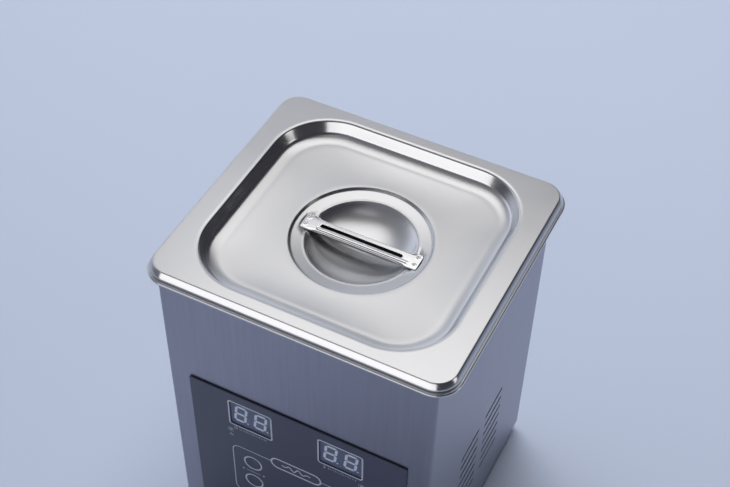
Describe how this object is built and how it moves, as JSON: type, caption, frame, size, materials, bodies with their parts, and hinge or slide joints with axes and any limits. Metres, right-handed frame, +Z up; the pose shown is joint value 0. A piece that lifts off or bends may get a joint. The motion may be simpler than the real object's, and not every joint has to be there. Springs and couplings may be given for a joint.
{
  "type": "ultrasonic cleaner",
  "caption": "Benchtop heated ultrasonic cleaner: drawn stainless tank in a brushed stainless housing, lift-off lid with strap handle, digital timer and heat panel.",
  "frame": {"origin": "on the surface the machine stands on, under the middle of the housing", "axes": "+Z up, -Y is the control panel side, +X is to the right of someone facing the panel"},
  "size_m": [0.175, 0.158, 0.218],
  "materials": {
    "satin_steel": "satin pressed stainless steel, polished rolled edges",
    "housing_steel": "stainless sheet brushed along its height",
    "polished_steel": "polished stainless strip",
    "zinc_steel": "zinc plated steel",
    "cast_aluminium": "turned and extruded aluminium",
    "brass": "turned brass",
    "copper": "copper sheet and winding wire",
    "panel_film": "dark charcoal printed film, satin",
    "window_film": "smoked clear window",
    "key_film": "dark charcoal domed key, satin",
    "lamp_lens": "clear lens, unlit",
    "black_plastic": "moulded black nylon",
    "foot_rubber": "black rubber",
    "seal_silicone": "translucent grey silicone",
    "heater_silicone": "orange silicone",
    "piezo_ceramic": "sintered ceramic",
    "circuit_board": "green solder mask",
    "display_face": "grey blue display face",
    "white_plastic": "natural nylon"
  },
  "bodies": {
    "base": {"housing_wrap": "housing_steel", "rear_cover": "housing_steel", "base_plate": "zinc_steel", "foot_screw_front_left": "zinc_steel", "foot_screw_front_right": "zinc_steel", "foot_screw_rear_right": "zinc_steel", "foot_screw_rear_left": "zinc_steel", "cover_screw_low_left": "zinc_steel", "cover_screw_low_right": "zinc_steel", "cover_screw_high_right": "zinc_steel", "cover_screw_high_left": "zinc_steel", "transducer_back_mass": "zinc_steel", "transducer_bolt": "zinc_steel", "board_bracket_left": "zinc_steel", "board_bracket_right": "zinc_steel", "foot_front_left": "foot_rubber", "foot_front_right": "foot_rubber", "foot_rear_right": "foot_rubber", "foot_rear_left": "foot_rubber", "tank": "satin_steel", "flange_seal": "seal_silicone", "transducer_front_mass": "cast_aluminium", "heatsink": "cast_aluminium", "piezo_ring_upper": "piezo_ceramic", "piezo_ring_lower": "piezo_ceramic", "electrode_plate": "copper", "transformer": "copper", "heater_pad_left": "heater_silicone", "heater_pad_right": "heater_silicone", "transducer_lead": "heater_silicone", "thermal_cutout": "black_plastic", "power_inlet": "black_plastic", "rocker_frame": "black_plastic", "fan_frame": "black_plastic", "mains_lead": "black_plastic", "temperature_probe": "brass", "power_board": "circuit_board", "display_board": "circuit_board", "board_standoff_front_left": "white_plastic", "board_standoff_front_right": "white_plastic", "board_standoff_rear_right": "white_plastic", "board_standoff_rear_left": "white_plastic", "display_lead": "white_plastic", "front_panel": "panel_film", "display_window_time": "window_film", "display_window_heat": "window_film", "display_module_time": "display_face", "display_module_heat": "display_face", "indicator_time": "lamp_lens", "indicator_heat": "lamp_lens"},
    "lid": {"lid_panel": "satin_steel", "lid_handle": "polished_steel"},
    "rocker": {"rocker": "black_plastic"},
    "fan": {"fan_rotor": "black_plastic"},
    "key_time_up": {"key_time_up": "key_film"},
    "key_time_down": {"key_time_down": "key_film"},
    "key_heat_up": {"key_heat_up": "key_film"},
    "key_heat_down": {"key_heat_down": "key_film"},
    "key_power": {"key_power": "key_film"},
    "key_start": {"key_start": "key_film"}
  },
  "joints": [
    {"name": "lid_lift", "type": "slide", "parent": "base", "child": "lid", "axis": [0, 0, 1], "range_m": [0, 0.12]},
    {"name": "key_time_up_press", "type": "slide", "parent": "base", "child": "key_time_up", "axis": [0, 1, 0], "range_m": [0, 0.0005], "stiffness_N_per_m": 1000},
    {"name": "key_time_down_press", "type": "slide", "parent": "base", "child": "key_time_down", "axis": [0, 1, 0], "range_m": [0, 0.0005], "stiffness_N_per_m": 1000},
    {"name": "key_heat_up_press", "type": "slide", "parent": "base", "child": "key_heat_up", "axis": [0, 1, 0], "range_m": [0, 0.0005], "stiffness_N_per_m": 1000},
    {"name": "key_heat_down_press", "type": "slide", "parent": "base", "child": "key_heat_down", "axis": [0, 1, 0], "range_m": [0, 0.0005], "stiffness_N_per_m": 1000},
    {"name": "key_power_press", "type": "slide", "parent": "base", "child": "key_power", "axis": [0, 1, 0], "range_m": [0, 0.0005], "stiffness_N_per_m": 1000},
    {"name": "key_start_press", "type": "slide", "parent": "base", "child": "key_start", "axis": [0, 1, 0], "range_m": [0, 0.0005], "stiffness_N_per_m": 1000},
    {"name": "power_rocker", "type": "hinge", "parent": "base", "child": "rocker", "pos_m": [0.04, 0.0744, 0.082], "axis": [0, 0, -1], "range_deg": [0, 16]},
    {"name": "fan_spin", "type": "hinge", "parent": "base", "child": "fan", "pos_m": [-0.032, 0.067, 0.072], "axis": [0, 1, 0], "continuous": true}
  ]
}
